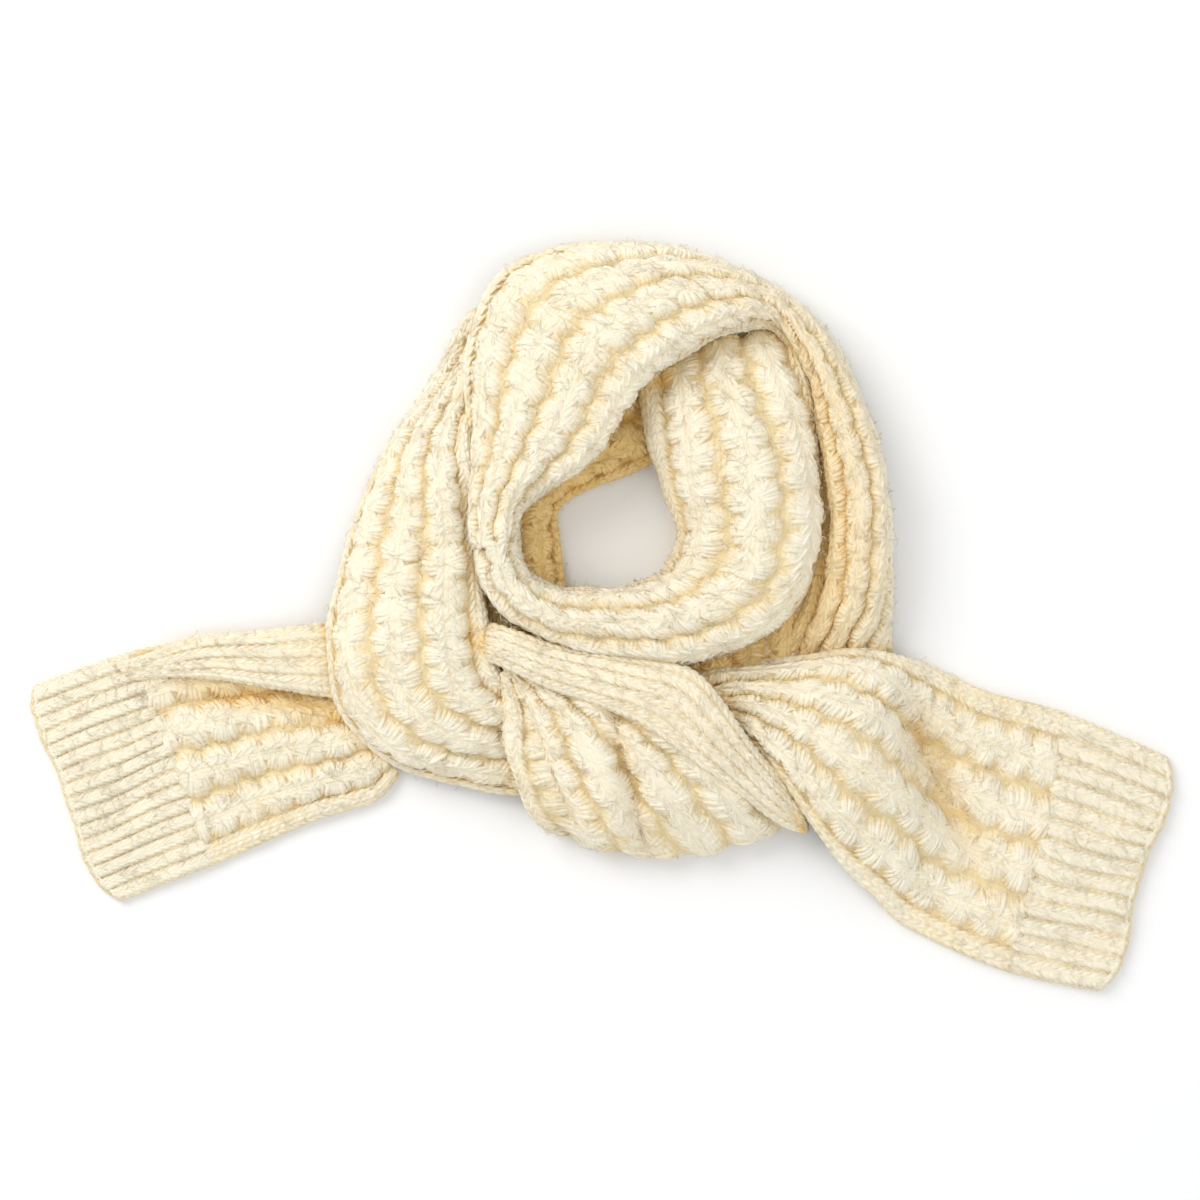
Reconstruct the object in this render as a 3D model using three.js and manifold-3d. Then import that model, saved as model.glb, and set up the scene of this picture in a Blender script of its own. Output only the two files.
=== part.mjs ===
// A chunky knit scarf with ribbed ends, wound into a double neck loop, half knotted and laid on a
// flat surface. It is one long knitted strip, split into the stretches that show. Millimetres, +Z up,
// origin on the surface under the middle of the scarf. +Y points away from the knot, up the loop.
import * as THREE from "three";
import { mergeVertices } from "three/addons/utils/BufferGeometryUtils.js";
import Module from "manifold-3d";

const wasm = await Module();
wasm.setup();

// Driving sizes of the knitting
const wall = 3.5; // plain thickness of the cloth
const starRelief = 2.4; // how far a column of star stitches stands out of the plain cloth
const ribRelief = 1.8; // height of a cuff rib
const starColumns = 4; // columns of stars across the strip
const selvedge = 0.085; // plain edge each side, as a share of the width
const starPitch = 20; // from one star to the next along a column
const ribCount = 12; // ribs across a cuff
const cuffLength = 68;
const seam = 0.5; // gap between stretches that meet
const hiddenGap = 0.6; // gap between the hidden turns and the stretches over them
const profileSteps = 60; // for measuring round a section
const slopeReach = 5; // for measuring the slope along a strip
const slopeTurn = 0.02; // and across it, in radians
const lowestOuter = 0.8; // the outer face stays this far above the surface
const restingHeight = 4; // an underside lower than this lies flat on the surface

// Places of the cuts between the stretches, as numbers of section rows
const cut = { cuffToTail: 1, ringToUpper: 12, upperToRight: 20, leftToRightTail: 9 };

// Each table has a row for each section of the strip. left and right are the edges as the strip runs
// on, rise is the crown over the chord, tuck the degrees that each edge curls under, skew moves the
// crown towards one edge, bow pushes the middle towards the near side.
const leftTailRows = [
  { left: [-357, -44, 4], right: [-305, -176, 4], rise: 2.2 },
  { left: [-288, -20, 4], right: [-241, -151, 4], rise: 2.2 },
  { left: [-247, -14, 4], right: [-207, -136, 4], rise: 2.6 },
  { left: [-209, -12, 4], right: [-174, -122, 4], rise: 3 },
  { left: [-172, -11, 4], right: [-140, -111, 4], rise: 3 },
  { left: [-146, -14, 4], right: [-127, -96, 4], rise: 2.4 },
];

const tailFoldRows = [
  { left: [-284, -23, 8.4], right: [-262, -34, 9.6], rise: 1 },
  { left: [-250, -11, 9.2], right: [-233, -36, 10.6], rise: 2 },
  { left: [-211, -8, 10], right: [-202, -41, 11], rise: 3.5 },
  { left: [-180, -4, 10], right: [-177, -45, 11], rise: 4 },
  { left: [-152, 0, 9.6], right: [-150, -48, 10.6], rise: 2 },
];

const loopRows = [
  { left: [118, 184, 20], right: [24, 158, 18], rise: 8 },
  { left: [124, 154, 24], right: [27, 135, 19], rise: 20 },
  { left: [129, 124, 27], right: [35, 110, 18], rise: 28, tuck: [15, 10] },
  { left: [132, 93, 28], right: [42, 86, 18], rise: 31, tuck: [20, 20] },
  { left: [133, 59, 28], right: [51, 56, 18], rise: 31, tuck: [25, 30] },
  { left: [126, 23, 28], right: [47, 34, 18], rise: 30, tuck: [25, 35] },
  { left: [103, -6, 30], right: [34, 22, 20], rise: 28, tuck: [25, 40] },
  { left: [65, -21, 33], right: [14, 17, 25], rise: 24, tuck: [30, 45] },
  { left: [28, -23, 35], right: [-9, 16, 28], rise: 21, tuck: [30, 45] },
  { left: [-12, -17, 36], right: [-29, 16, 31], rise: 20, tuck: [30, 45] },
  { left: [-46, -2, 36], right: [-44, 23, 34], rise: 19, tuck: [30, 45] },
  { left: [-66, 17, 36], right: [-52, 36, 36], rise: 19, tuck: [25, 45] },
  { left: [-75, 42, 35], right: [-54, 51, 37], rise: 19, tuck: [15, 45] },
  { left: [-78, 67, 33], right: [-51, 69, 39], rise: 19, tuck: [5, 45] },
  { left: [-79, 94, 31], right: [-37, 82, 42], rise: 19, tuck: [0, 45] },
  { left: [-81, 124, 28], right: [-14, 95, 45], rise: 19, tuck: [0, 45] },
  { left: [-82, 153, 24], right: [4, 112, 47], rise: 20, tuck: [0, 45] },
  { left: [-76, 184, 19], right: [16, 132, 48], rise: 22, tuck: [0, 45] },
  { left: [-59, 214, 13], right: [31, 151, 48], rise: 24, tuck: [0, 45] },
  { left: [-25, 228, 9], right: [57, 168, 46], rise: 27, tuck: [0, 40] },
  { left: [25, 230, 8], right: [85, 182, 42], rise: 28, tuck: [0, 30] },
  { left: [70, 220, 8], right: [108, 183, 34], rise: 27, tuck: [0, 15], skew: -0.2 },
  { left: [104, 203, 8], right: [121, 168, 24], rise: 30, skew: -0.4 },
  { left: [133, 179, 8], right: [130, 143, 17], rise: 32, skew: -0.5 },
  { left: [157, 138, 8], right: [134, 114, 14], rise: 34, skew: -0.55 },
  { left: [171, 96, 8], right: [138, 84, 14], rise: 34, skew: -0.55 },
  { left: [175, 50, 8], right: [138, 47, 14], rise: 33, skew: -0.55 },
  { left: [177, 12, 7], right: [130, 11, 12], rise: 26, skew: -0.6 },
  { left: [177, -16, 5], right: [113, -19, 10], rise: 9, skew: -0.5 },
  { left: [176, -46, 4], right: [110, -46, 8], rise: 4 },
];

const crossRows = [
  { left: [-64, 168, 7], right: [-93, 165, 6], rise: 8 },
  { left: [-78, 141, 13], right: [-107, 139, 6], rise: 11 },
  { left: [-84, 108, 33], right: [-130, 107, 6], rise: 15 },
  { left: [-84, 71, 35], right: [-148, 67, 6], rise: 19, tuck: [20, 0] },
  { left: [-79, 28, 35], right: [-161, 22, 9], rise: 22, tuck: [20, 0] },
  { left: [-74, -6, 32], right: [-167, -14, 16.8], rise: 24, tuck: [10, 0] },
  { left: [-66, -33, 27], right: [-158, -56, 13], rise: 25, tuck: [0, 5] },
  { left: [-50, -45, 21], right: [-129, -85, 10.3], rise: 23, tuck: [0, 5] },
  { left: [-25, -50, 17], right: [-85, -101, 9], rise: 14 },
  { left: [2, -45, 16], right: [-34, -104, 8], rise: 15 },
  { left: [43, -36, 15], right: [28, -80, 10], rise: 14 },
  { left: [82, -30, 15], right: [73, -62, 15], rise: 12 },
  { left: [121, -24, 18], right: [93, -76, 26], rise: 14 },
  { left: [149, -20, 18], right: [111, -95, 27], rise: 24 },
  { left: [176, -22, 14], right: [130, -124, 24], rise: 26 },
  { left: [204, -31, 4], right: [152, -152, 14], rise: 17, skew: 0.35 },
  { left: [222, -38, 4], right: [171, -171, 8], rise: 9, skew: 0.3 },
  { left: [241, -46, 4], right: [191, -190, 4], rise: 5 },
  { left: [289, -59, 4], right: [253, -217, 4], rise: 2.4 },
  { left: [356, -88, 4], right: [315, -230, 4], rise: 2.2 },
];

const wrapRows = [
  { left: [-32, -22, 37], right: [-60, -31, 36], rise: 3 },
  { left: [24, -46, 41], right: [-55, -56, 34.4], rise: 5 },
  { left: [66, -72, 37], right: [-52, -88, 32], rise: 12 },
  { left: [98, -100, 26], right: [-41, -118, 21], rise: 16, bow: 7 },
  { left: [124, -118, 11], right: [-33, -126, 9], rise: 5, bow: 22 },
  { left: [120, -112, 3.6], right: [-30, -119, 3.6], rise: 0.4, bow: 21 },
];

const wrapEdgeRows = [
  { left: [-61, -8, 40], right: [-62, -27, 44], rise: 5, tuck: [20, 0] },
  { left: [-25, -21, 43], right: [-34, -40, 47], rise: 6, tuck: [20, 0] },
  { left: [12, -27, 44], right: [0, -52, 48], rise: 7, tuck: [20, 0] },
  { left: [52, -30, 45], right: [28, -64, 49], rise: 8, tuck: [20, 0] },
  { left: [71, -48, 45], right: [55, -84, 46.5], rise: 8, tuck: [20, 0] },
  { left: [89, -74, 39.5], right: [84, -104, 38.5], rise: 8, tuck: [10, 0] },
  { left: [107, -95, 31.5], right: [110, -124, 27], rise: 7 },
  { left: [124, -116, 19], right: [127, -130, 14], rise: 4 },
];

const innerRows = [
  { left: [-77, -12, 16], right: [-44, -12, 12], rise: 4 },
  { left: [-76, 12, 17], right: [-25, 15, 5], rise: 6 },
  { left: [-75, 40, 18], right: [-27, 37, 4], rise: 8 },
  { left: [-73, 65, 18], right: [-29, 61, 4], rise: 8 },
  { left: [-62, 93, 18], right: [-24, 74, 4], rise: 8 },
  { left: [-37, 124, 18], right: [0, 86, 4], rise: 8 },
  { left: [-6, 149, 16], right: [34, 100, 4], rise: 5 },
  { left: [31, 168, 9], right: [60, 118, 4], rise: 3 },
];

// The hidden turns of the strip share one rounded ring under the ones that show. Each row is a
// section of that ring, all the way round.
const hiddenRows = [
  { outer: [-150, 48], inner: [-80, 50], height: 34 },
  { outer: [-124, 112], inner: [-70, 92], height: 31 },
  { outer: [-78, 184], inner: [-44, 126], height: 24 },
  { outer: [-16, 222], inner: [-8, 150], height: 34 },
  { outer: [58, 216], inner: [44, 150], height: 26 },
  { outer: [124, 176], inner: [66, 122], height: 24 },
  { outer: [162, 100], inner: [64, 88], height: 25 },
  { outer: [169, 40], inner: [66, 50], height: 24 },
  { outer: [166, -10], inner: [62, 20], height: 20 },
  { outer: [132, -66], inner: [40, 6], height: 17 },
  { outer: [52, -110], inner: [8, 2], height: 13 },
  { outer: [-30, -100], inner: [-30, 0], height: 12 },
  { outer: [-92, -74], inner: [-50, -24], height: 17 },
  { outer: [-120, -20], inner: [-82, -6], height: 28 },
];

const yarn = new THREE.MeshStandardMaterial({ color: 0xf1e3c6, roughness: 0.95, metalness: 0 });
const radians = Math.PI / 180;

// One table row as a plain list of numbers, so that rows can be blended.
function sectionNumbers(row) {
  const [leftTuck, rightTuck] = row.tuck ?? [0, 0];
  return [...row.left, ...row.right, row.rise, leftTuck, rightTuck, row.skew ?? 0, row.bow ?? 0];
}

// Smooth blend of table rows at a row number that need not be whole (Catmull-Rom).
function blendRows(rows, place) {
  const last = rows.length - 1;
  const i = Math.min(Math.max(Math.floor(place), 0), last - 1);
  const u = place - i;
  const before = rows[Math.max(i - 1, 0)];
  const after = rows[Math.min(i + 2, last)];
  return rows[i].map((a, k) => {
    const b = rows[i + 1][k];
    const slopeA = (b - before[k]) / 2;
    const slopeB = (after[k] - a) / 2;
    const bend = 3 * (b - a) - 2 * slopeA - slopeB;
    return a + u * (slopeA + u * (bend + u * (slopeA + slopeB - 2 * (b - a))));
  });
}

// A point of a section at an angle round its profile: 0 at the left edge, 90 at the crown, 180 at the
// right edge.
function profilePoint(numbers, angle) {
  const left = new THREE.Vector3(...numbers.slice(0, 3));
  const chord = new THREE.Vector3(...numbers.slice(3, 6)).sub(left);
  const [rise, , , skew, bow] = numbers.slice(6);
  const share = (1 - Math.cos(angle)) / 2;
  const point = left.addScaledVector(chord, share + skew * share * (1 - share));
  point.z += rise * Math.sin(angle);
  point.y -= 4 * bow * share * (1 - share);
  return point;
}

// Angles round a section's profile at the given shares of its curve.
function anglesAt(numbers, shares) {
  const start = -numbers[7] * radians;
  const end = Math.PI + numbers[8] * radians;
  const angles = [];
  const lengths = [0];
  let before;
  for (let i = 0; i <= profileSteps; i++) {
    angles.push(start + ((end - start) * i) / profileSteps);
    const point = profilePoint(numbers, angles[i]);
    if (i) lengths.push(lengths[i - 1] + point.distanceTo(before));
    before = point;
  }
  let k = 1;
  return shares.map((share) => {
    const goal = lengths[profileSteps] * share;
    while (k < profileSteps && lengths[k] < goal) k++;
    const span = lengths[k] - lengths[k - 1];
    return angles[k - 1] + ((angles[k] - angles[k - 1]) * (goal - lengths[k - 1])) / span;
  });
}

// The middle line of a strip, as row numbers with the distance run so far.
function runAlong(rows) {
  const perRow = 12;
  const run = [];
  let before;
  for (let i = 0; i <= (rows.length - 1) * perRow; i++) {
    const n = blendRows(rows, i / perRow);
    const middle = new THREE.Vector3(n[0] + n[3], n[1] + n[4], n[2] + n[5]).multiplyScalar(0.5);
    const distance = i ? run[i - 1].distance + middle.distanceTo(before) : 0;
    run.push({ place: i / perRow, distance, middle });
    before = middle;
  }
  return run;
}

// The row number at a distance along, carried on past either end.
function placeAt(run, distance) {
  const found = run.findIndex((r) => r.distance >= distance);
  const i = found < 0 ? run.length - 1 : Math.max(1, found);
  const [a, b] = [run[i - 1], run[i]];
  return a.place + ((b.place - a.place) * (distance - a.distance)) / (b.distance - a.distance);
}

function distanceAt(run, place) {
  return run[Math.round(place * 12)].distance;
}

// The knitting across the strip: shares of the width where the mesh has a line, with how far the
// cloth stands out there. A star's row and the row between two stars differ.
function starKnit(columns = starColumns) {
  const lines = [{ share: 0, star: 0, between: 0 }];
  for (let q = 0; q <= 4 * columns; q++) {
    const ridge = 0.5 - 0.5 * Math.cos((Math.PI * q) / 2);
    const share = selvedge + ((1 - 2 * selvedge) * q) / (4 * columns);
    lines.push({ share, star: starRelief * ridge, between: 0.45 * starRelief * ridge });
  }
  lines.push({ share: 1, star: 0, between: 0 });
  return lines;
}

function ribKnit() {
  const lines = [];
  for (let q = 0; q <= 4 * ribCount; q++) {
    const height = ribRelief * (0.5 - 0.5 * Math.cos((Math.PI * q) / 2));
    lines.push({ share: q / (4 * ribCount), star: height, between: height });
  }
  return lines;
}

function plainKnit(steps) {
  return Array.from({ length: steps + 1 }, (_, q) => ({ share: q / steps, star: 0, between: 0 }));
}

function towards(from, to) {
  return to.clone().sub(from).normalize();
}

// A closed wall of cloth along a strip between two distances: a raised outer face, a plain inner face
// at half its steps, and a rim. Where it lies it has a flat underside. grow makes it larger all round.
function clothWall(rows, { from = 0, to = Infinity, knit = starKnit(), lies = false, grow = 0 }) {
  const numbers = rows.map(sectionNumbers);
  const run = runAlong(numbers);
  const end = Math.min(to, run.at(-1).distance);
  const along = 2 * Math.max(1, Math.round((end - from) / starPitch));
  const shares = knit.map((line) => line.share);
  const lineAt = (distance) => {
    const section = blendRows(numbers, placeAt(run, distance));
    return anglesAt(section, shares).map((angle) => ({
      point: profilePoint(section, angle),
      across: profilePoint(section, angle + slopeTurn).sub(profilePoint(section, angle - slopeTurn)),
    }));
  };
  const outer = [];
  const inner = [];
  const lastLine = knit.length - 1;
  for (let i = 0; i <= along; i++) {
    const distance = from + ((end - from) * i) / along;
    const before = lineAt(distance - slopeReach);
    const after = lineAt(distance + slopeReach);
    const line = lineAt(distance);
    line.forEach(({ point, across }, j) => {
      const forward = after[j].point.clone().sub(before[j].point).normalize();
      const out = across.cross(forward).normalize();
      const border = new THREE.Vector3();
      if (i === 0) border.sub(forward);
      if (i === along) border.add(forward);
      if (j === 0) border.add(towards(line[1].point, point));
      if (j === lastLine) border.add(towards(line[lastLine - 1].point, point));
      const base = point.clone().addScaledVector(border, grow);
      const top = base.clone().addScaledVector(out, grow + (i % 2 ? knit[j].star : knit[j].between));
      top.z = Math.max(top.z, lowestOuter);
      outer.push(top);
      if (i % 2 || j % 2) return;
      const under = base.clone().addScaledVector(out, -wall - grow);
      const resting = lies && under.z < restingHeight;
      if (resting && (j === 0 || j === lastLine)) under.copy(top);
      under.z = resting ? 0 : Math.max(under.z, 0);
      inner.push(under);
    });
  }
  return closedWall(outer, inner, along, lastLine);
}

// Joins an outer grid and an inner grid of half its steps into one closed surface.
function closedWall(outer, inner, along, across) {
  const vertices = [...outer, ...inner];
  const faces = [];
  const outerAt = (i, j) => i * (across + 1) + j;
  const innerAt = (i, j) => outer.length + (i / 2) * (across / 2 + 1) + j / 2;
  const quad = (a, b, c, d) => faces.push(a, b, c, a, c, d);
  for (let i = 0; i < along; i++)
    for (let j = 0; j < across; j++)
      quad(outerAt(i, j), outerAt(i, j + 1), outerAt(i + 1, j + 1), outerAt(i + 1, j));
  for (let i = 0; i < along; i += 2)
    for (let j = 0; j < across; j += 2)
      quad(innerAt(i, j), innerAt(i + 2, j), innerAt(i + 2, j + 2), innerAt(i, j + 2));
  const edge = [];
  for (let j = 0; j < across; j++) edge.push([0, j]);
  for (let i = 0; i < along; i++) edge.push([i, across]);
  for (let j = across; j > 0; j--) edge.push([along, j]);
  for (let i = along; i > 0; i--) edge.push([i, 0]);
  for (let k = 0; k < edge.length; k += 2) {
    const [a, b, c] = [edge[k], edge[k + 1], edge[(k + 2) % edge.length]];
    faces.push(outerAt(...b), outerAt(...a), innerAt(...a));
    faces.push(outerAt(...b), innerAt(...a), innerAt(...c));
    faces.push(outerAt(...b), innerAt(...c), outerAt(...c));
  }
  return geometryOf(vertices, faces);
}

function geometryOf(vertices, faces) {
  const geometry = new THREE.BufferGeometry().setFromPoints(vertices);
  geometry.setIndex(faces);
  return geometry;
}

// The ring of hidden turns: a flat underside, and on both sides one rounded edge for each layer.
function hiddenRing(rows) {
  const stepsPerRow = 3;
  const profile = [
    { across: 0.04, up: 0 },
    { across: 0.96, up: 0 },
    { across: 1, up: 0.18 },
    { across: 0.97, up: 0.34 },
    { across: 0.9, up: 0.4 },
    { across: 0.93, up: 0.58 },
    { across: 0.86, up: 0.76 },
    { across: 0.7, up: 0.93 },
    { across: 0.5, up: 1 },
    { across: 0.3, up: 0.93 },
    { across: 0.14, up: 0.76 },
    { across: 0.07, up: 0.58 },
    { across: 0.1, up: 0.4 },
    { across: 0.03, up: 0.34 },
    { across: 0, up: 0.18 },
  ];
  const numbers = rows.map((r) => [...r.inner, ...r.outer, r.height]);
  const looped = [numbers.at(-1), ...numbers, numbers[0], numbers[1]];
  const vertices = [];
  const sections = rows.length * stepsPerRow;
  for (let i = 0; i < sections; i++) {
    const [ix, iy, ox, oy, height] = blendRows(looped, 1 + i / stepsPerRow);
    for (const { across, up } of profile)
      vertices.push(new THREE.Vector3(ix + (ox - ix) * across, iy + (oy - iy) * across, height * up));
  }
  const faces = [];
  const size = profile.length;
  for (let i = 0; i < sections; i++)
    for (let k = 0; k < size; k++) {
      const [a, b] = [i * size + k, i * size + ((k + 1) % size)];
      const [c, d] = [((i + 1) % sections) * size + ((k + 1) % size), ((i + 1) % sections) * size + k];
      faces.push(a, b, c, a, c, d);
    }
  return geometryOf(vertices, faces);
}

function toSolid(geometry) {
  const bare = new THREE.BufferGeometry();
  bare.setAttribute("position", geometry.getAttribute("position"));
  bare.setIndex(geometry.getIndex());
  const merged = mergeVertices(bare, 1e-4);
  const vertProperties = new Float32Array(merged.getAttribute("position").array);
  const triVerts = new Uint32Array(merged.getIndex().array);
  return new wasm.Manifold(new wasm.Mesh({ numProp: 3, vertProperties, triVerts }));
}

function toGeometry(solid) {
  const mesh = solid.getMesh();
  const geometry = new THREE.BufferGeometry();
  geometry.setAttribute("position", new THREE.BufferAttribute(new Float32Array(mesh.vertProperties), 3));
  geometry.setIndex(new THREE.BufferAttribute(new Uint32Array(mesh.triVerts), 1));
  return geometry;
}

const scarf = new THREE.Group();

function addMesh(name, geometry) {
  const mesh = new THREE.Mesh(geometry, yarn.clone());
  mesh.name = name;
  scarf.add(mesh);
}

// The stretches of each run of the strip, cut where one passes under another.
const leftTailRun = runAlong(leftTailRows.map(sectionNumbers));
const loopRun = runAlong(loopRows.map(sectionNumbers));
const crossRun = runAlong(crossRows.map(sectionNumbers));
const half = seam / 2;
const cuffEnd = distanceAt(leftTailRun, cut.cuffToTail);
const ringEnd = distanceAt(loopRun, cut.ringToUpper);
const upperEnd = distanceAt(loopRun, cut.upperToRight);
const leftEnd = distanceAt(crossRun, cut.leftToRightTail);
const rightCuffStart = crossRun.at(-1).distance - cuffLength;
const stretches = {
  left_cuff: { rows: leftTailRows, to: cuffEnd - half, knit: ribKnit(), lies: true },
  left_tail: { rows: leftTailRows, from: cuffEnd + half, lies: true },
  left_tail_fold: { rows: tailFoldRows, knit: plainKnit(8) },
  neck_ring: { rows: loopRows, to: ringEnd - half, knit: starKnit(3) },
  upper_band: { rows: loopRows, from: ringEnd + half, to: upperEnd - half },
  right_band: { rows: loopRows, from: upperEnd + half, lies: true },
  left_band: { rows: crossRows, to: leftEnd - half, knit: starKnit(3) },
  right_tail: { rows: crossRows, from: leftEnd + half, to: rightCuffStart - half, lies: true },
  right_cuff: { rows: crossRows, from: rightCuffStart + half, knit: ribKnit(), lies: true },
  knot_wrap: { rows: wrapRows },
  knot_edge: { rows: wrapEdgeRows, knit: plainKnit(8) },
  inner_band: { rows: innerRows, knit: starKnit(2), lies: true },
};

let hiddenLeft = toSolid(hiddenRing(hiddenRows));
for (const [name, { rows, ...options }] of Object.entries(stretches)) {
  addMesh(name, clothWall(rows, options));
  hiddenLeft = hiddenLeft.subtract(toSolid(clothWall(rows, { ...options, grow: hiddenGap })));
}
const largest = hiddenLeft.decompose().sort((a, b) => b.volume() - a.volume())[0];
addMesh("hidden_layers", toGeometry(largest));

export default scarf;
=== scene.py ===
import math

import bpy
import numpy as np
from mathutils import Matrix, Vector
from mathutils.bvhtree import BVHTree


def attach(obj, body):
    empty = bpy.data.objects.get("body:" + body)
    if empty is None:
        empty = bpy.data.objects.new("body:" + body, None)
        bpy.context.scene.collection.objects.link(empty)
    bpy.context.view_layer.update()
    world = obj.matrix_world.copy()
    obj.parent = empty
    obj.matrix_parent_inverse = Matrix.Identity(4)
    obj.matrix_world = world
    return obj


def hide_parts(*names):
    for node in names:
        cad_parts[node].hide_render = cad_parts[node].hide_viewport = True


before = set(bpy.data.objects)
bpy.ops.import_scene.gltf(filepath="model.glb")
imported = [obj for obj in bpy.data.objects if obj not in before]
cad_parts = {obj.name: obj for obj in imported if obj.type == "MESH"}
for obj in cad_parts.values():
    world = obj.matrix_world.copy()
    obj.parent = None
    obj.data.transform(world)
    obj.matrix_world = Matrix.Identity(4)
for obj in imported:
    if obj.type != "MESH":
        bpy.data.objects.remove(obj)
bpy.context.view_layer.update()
mm = 0.001

# What the whole knitting shares
knit = {
    "starPitch": 20,  # from one star to the next along a column
    "starMargin": 1.2,
    "columnRelief": 5.4,  # how far a column stands out of its furrows
    "furrow": -1.3,  # the bottom of a furrow
    "starCrown": 7,  # from a furrow to a crown
    "courseCrown": 4.6,
    "edgeShare": 0.085,  # plain selvedge each side, as a share of the width
    "edgePitch": 5.8,
    "ribPitch": 5.2,  # rows of a cuff
    "cuffLength": 68,
    "endRound": 5,
    "wall": 3.2,  # from the mean surface to the inner face
    "seam": 0.5,
    "gridStep": 2.5,
    "gridAcross": 84,
    "margin": 14,  # the grid runs on past both ends
    "meshStep": 2.5,
    "lowest": 0.5,
}


# Sections of each run of the strip: x, y, z of its left and its right edge, the rise of the crown
# over them, and where it isn't 0, how far each edge curls under (degrees), the crown's lean and its
# bow towards the knot.
runs = {}
runs["leftEnd"] = [
    (-357, -44, 4, -305, -176, 4, 2.2),
    (-288, -20, 4, -241, -151, 4, 2.2),
    (-247, -14, 4, -207, -136, 4, 2.6),
    (-209, -12, 4, -174, -122, 4, 3),
    (-172, -11, 4, -140, -111, 4, 3),
    (-146, -14, 4, -127, -96, 4, 2.4),
]
runs["leftFold"] = [
    (-303, -28, 6.2, -288, -37, 6.6, 0.2),
    (-284, -23, 8.4, -262, -34, 9.6, 1),
    (-250, -11, 9.2, -233, -36, 10.6, 2),
    (-211, -8, 10, -202, -41, 11, 3.5),
    (-180, -4, 10, -177, -45, 11, 4),
    (-152, 0, 9.6, -150, -48, 10.6, 2),
]
runs["loop"] = [
    (118, 184, 20, 24, 158, 18, 8),
    (124, 154, 24, 27, 135, 19, 20),
    (129, 124, 27, 35, 110, 18, 28, 15, 10),
    (132, 93, 28, 42, 86, 18, 31, 20, 20),
    (133, 59, 28, 51, 56, 18, 31, 25, 30),
    (126, 23, 28, 47, 34, 18, 30, 25, 35),
    (103, -6, 30, 34, 22, 20, 28, 25, 40),
    (65, -21, 33, 14, 17, 25, 24, 30, 45),
    (28, -23, 35, -9, 16, 28, 21, 30, 45),
    (-12, -17, 36, -29, 16, 31, 20, 30, 45),
    (-46, -2, 36, -44, 23, 34, 19, 30, 45),
    (-66, 17, 36, -52, 36, 36, 19, 25, 45),
    (-75, 42, 35, -54, 51, 37, 19, 15, 45),
    (-78, 67, 33, -51, 69, 39, 19, 5, 45),
    (-79, 94, 31, -37, 82, 42, 19, 0, 45),
    (-81, 124, 28, -14, 95, 45, 19, 0, 45),
    (-82, 153, 24, 4, 112, 47, 20, 0, 45),
    (-76, 184, 19, 16, 132, 48, 22, 0, 45),
    (-59, 214, 13, 31, 151, 48, 24, 0, 45),
    (-25, 228, 9, 57, 168, 46, 27, 0, 40),
    (25, 230, 8, 85, 182, 42, 28, 0, 30),
    (70, 220, 8, 108, 183, 34, 27, 0, 15, -0.2),
    (104, 203, 8, 121, 168, 24, 30, 0, 0, -0.4),
    (133, 179, 8, 130, 143, 17, 32, 0, 0, -0.5),
    (157, 138, 8, 134, 114, 14, 34, 0, 0, -0.55),
    (171, 96, 8, 138, 84, 14, 34, 0, 0, -0.55),
    (175, 50, 8, 138, 47, 14, 33, 0, 0, -0.55),
    (177, 12, 7, 130, 11, 12, 26, 0, 0, -0.6),
    (177, -16, 5, 113, -19, 10, 9, 0, 0, -0.5),
    (176, -46, 4, 110, -46, 8, 4),
]
runs["crossing"] = [
    (-54, 192, 8, -80, 190, 6, 7),
    (-64, 168, 7, -93, 165, 6, 8),
    (-78, 141, 13, -107, 139, 6, 11),
    (-84, 108, 33, -130, 107, 6, 15),
    (-84, 71, 35, -148, 67, 6, 19, 20, 0),
    (-79, 28, 35, -161, 22, 9, 22, 20, 0),
    (-74, -6, 32, -167, -14, 16.8, 24, 10, 0),
    (-66, -33, 27, -158, -56, 13, 25, 0, 5),
    (-50, -45, 21, -129, -85, 10.3, 23, 0, 5),
    (-25, -50, 17, -85, -101, 9, 14),
    (2, -45, 16, -34, -104, 8, 15),
    (43, -36, 15, 28, -80, 10, 14),
    (82, -30, 15, 73, -62, 15, 12),
    (121, -24, 18, 93, -76, 26, 14),
    (149, -20, 18, 111, -95, 27, 24),
    (176, -22, 14, 130, -124, 24, 26),
    (204, -31, 4, 152, -152, 14, 17, 0, 0, 0.35),
    (222, -38, 4, 171, -171, 8, 9, 0, 0, 0.3),
    (241, -46, 4, 191, -190, 4, 5),
    (289, -59, 4, 253, -217, 4, 2.4),
    (356, -88, 4, 315, -230, 4, 2.2),
]
runs["knot"] = [
    (-32, -22, 37, -60, -31, 36, 3),
    (24, -46, 41, -55, -56, 34.4, 5),
    (66, -72, 37, -52, -88, 32, 12),
    (98, -100, 26, -41, -118, 21, 16, 0, 0, 0, 7),
    (124, -118, 11, -33, -126, 9, 5, 0, 0, 0, 22),
    (120, -112, 3.6, -30, -119, 3.6, 0.4, 0, 0, 0, 21),
]
runs["knotRim"] = [
    (-79, -2, 24, -84, -20, 26, 5, 20, 0),
    (-61, -5, 40, -62, -26, 44, 5, 20, 0),
    (-25, -17, 43, -34, -39, 47, 6, 20, 0),
    (12, -23.5, 44, 0, -51, 48, 7, 20, 0),
    (52, -30, 45, 28, -64, 49, 8, 20, 0),
    (71, -48, 45, 55, -84, 46.5, 8, 20, 0),
    (89, -74, 39.5, 84, -104, 38.5, 8, 10, 0),
    (107, -95, 31.5, 110, -124, 27, 7),
    (124, -116, 19, 127, -130, 14, 4),
]
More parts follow.
